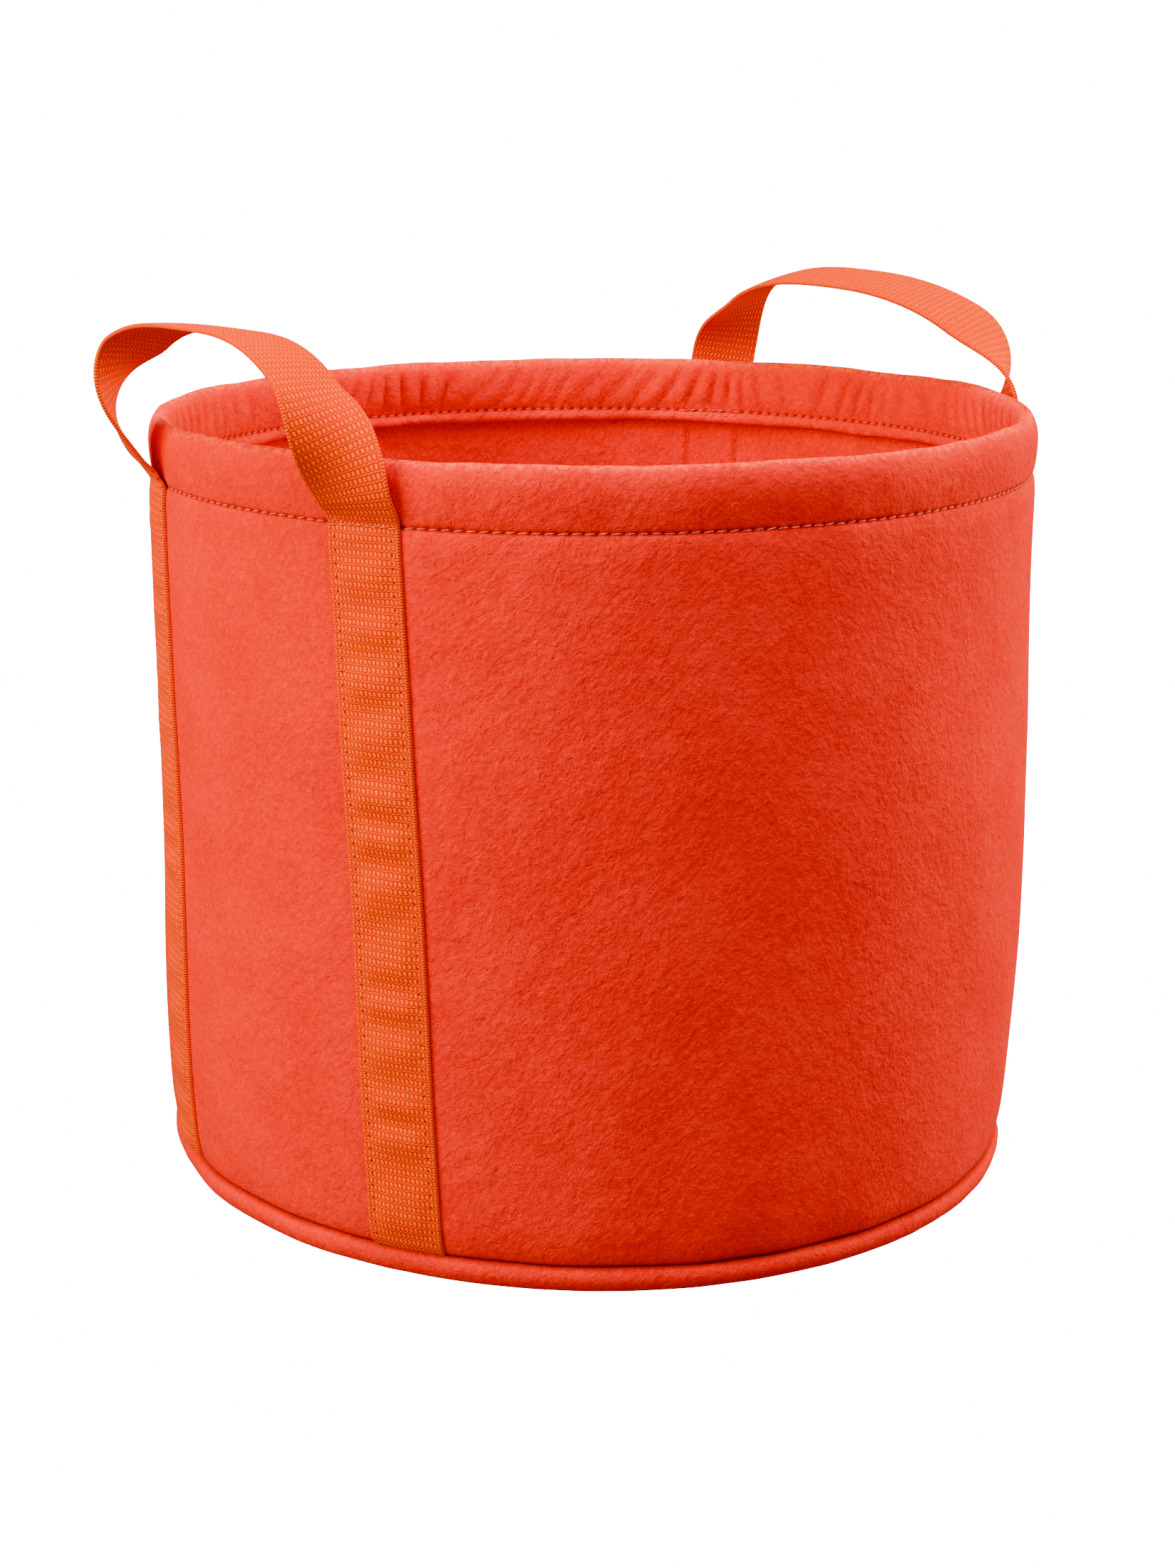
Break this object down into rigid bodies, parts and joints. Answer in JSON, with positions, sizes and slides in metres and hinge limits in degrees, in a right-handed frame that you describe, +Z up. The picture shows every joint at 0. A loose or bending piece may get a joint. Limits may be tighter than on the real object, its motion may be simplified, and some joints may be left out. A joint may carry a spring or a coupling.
{
  "type": "fabric grow bag",
  "caption": "Round felt grow bag with a turned-in stitched hem, a rolled base seam and webbing carrying handles sewn down the wall that stand up and fold down outside.",
  "frame": {"origin": "centre of the base, on the surface the bag stands on", "axes": "+Z up through the open mouth; the handles stand on the -X and +X sides; the front feet of both handles are towards -Y"},
  "size_m": [0.325, 0.3062, 0.3056],
  "materials": {
    "felt": "needle-punched felt, matt, short loose fibres",
    "webbing": "ribbed woven webbing, slight sheen",
    "thread": "twisted sewing thread"
  },
  "bodies": {
    "bag": {"wall_panel": "felt", "base_panel": "felt", "left_front_strap": "webbing", "left_back_strap": "webbing", "right_back_strap": "webbing", "right_front_strap": "webbing", "hem_needle_thread": "thread", "hem_bobbin_thread": "thread", "base_seam_thread": "thread", "left_front_edge_thread": "thread", "left_back_edge_thread": "thread", "right_back_edge_thread": "thread", "right_front_edge_thread": "thread", "left_front_tack_thread": "thread", "left_back_tack_thread": "thread", "right_back_tack_thread": "thread", "right_front_tack_thread": "thread"},
    "left_loop": {"left_handle": "webbing"},
    "right_loop": {"right_handle": "webbing"}
  },
  "joints": [
    {"name": "left_handle_fold", "type": "hinge", "parent": "bag", "child": "left_loop", "pos_m": [-0.15158, 0, 0.251], "axis": [0, -1, 0], "range_deg": [-15, 140]},
    {"name": "right_handle_fold", "type": "hinge", "parent": "bag", "child": "right_loop", "pos_m": [0.14574, 0.01211, 0.251], "axis": [-0.0828, 0.9966, 0], "range_deg": [0, 140]}
  ]
}
